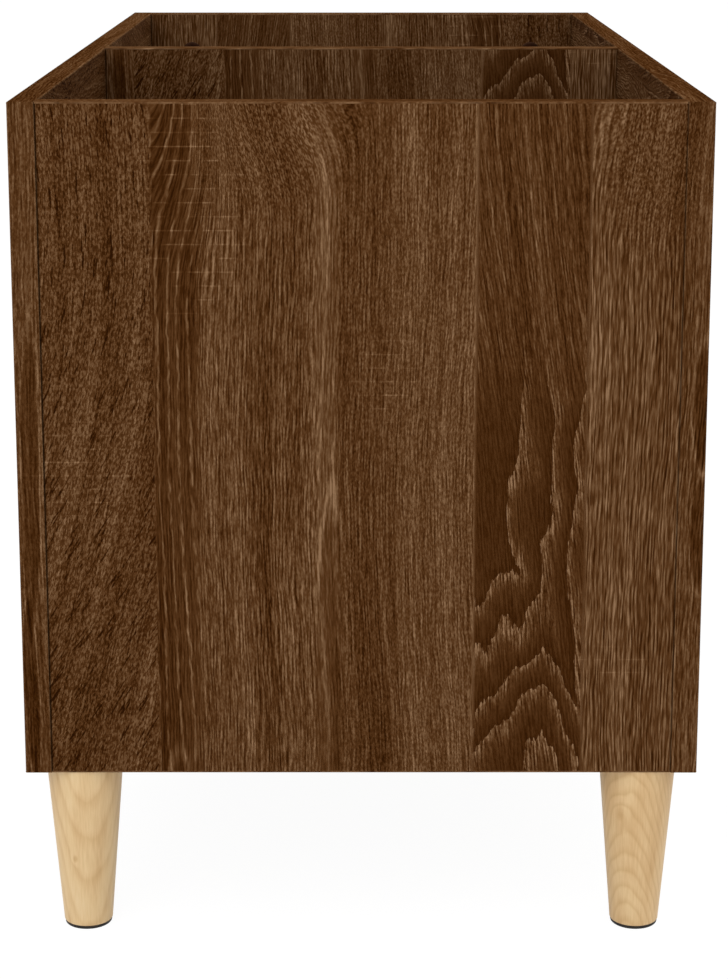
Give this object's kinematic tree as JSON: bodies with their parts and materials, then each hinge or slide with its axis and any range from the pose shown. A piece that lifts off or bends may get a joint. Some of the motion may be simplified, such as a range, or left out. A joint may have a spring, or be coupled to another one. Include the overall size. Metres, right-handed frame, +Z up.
{
  "type": "record cabinet",
  "caption": "Open-topped record cabinet of brown oak decor boards with a centre divider, on tapered turned wooden legs, for keeping records upright.",
  "frame": {"origin": "on the floor, under the middle of the box", "axes": "+X along the length towards the right end, +Y from the front board to the back board, +Z up"},
  "size_m": [0.745, 0.38, 0.48],
  "materials": {
    "oak_decor_board": "matte melamine, brown oak decor",
    "oak_decor_edging": "matte edging, brown oak decor",
    "pine_leg": "turned, clear lacquer",
    "foot_pad": "moulded",
    "cam_zinc": "die-cast zinc",
    "cam_cap": "moulded",
    "beech_dowel": "fluted",
    "zinc_plated_steel": "zinc plated"
  },
  "bodies": {
    "root": {"front_panel": "oak_decor_board", "back_panel": "oak_decor_board", "left_end_panel": "oak_decor_board", "right_end_panel": "oak_decor_board", "centre_divider": "oak_decor_board", "bottom_panel": "oak_decor_board", "front_panel_edging": "oak_decor_edging", "back_panel_edging": "oak_decor_edging", "left_end_edging": "oak_decor_edging", "right_end_edging": "oak_decor_edging", "divider_edging": "oak_decor_edging", "leg_front_left": "pine_leg", "leg_front_right": "pine_leg", "leg_back_left": "pine_leg", "leg_back_right": "pine_leg", "foot_pad_front_left": "foot_pad", "foot_pad_front_right": "foot_pad", "foot_pad_back_left": "foot_pad", "foot_pad_back_right": "foot_pad", "left_end_cams": "cam_zinc", "right_end_cams": "cam_zinc", "divider_cams": "cam_zinc", "bottom_cams": "cam_zinc", "left_end_cam_caps": "cam_cap", "right_end_cam_caps": "cam_cap", "divider_cam_caps": "cam_cap", "left_end_dowels": "beech_dowel", "right_end_dowels": "beech_dowel", "divider_dowels": "beech_dowel", "bottom_dowels": "beech_dowel", "left_end_cam_bolts": "zinc_plated_steel", "right_end_cam_bolts": "zinc_plated_steel", "divider_cam_bolts": "zinc_plated_steel", "bottom_cam_bolts": "zinc_plated_steel", "leg_hanger_bolts": "zinc_plated_steel", "leg_insert_nuts": "zinc_plated_steel", "foot_nails": "zinc_plated_steel"}
  },
  "joints": []
}
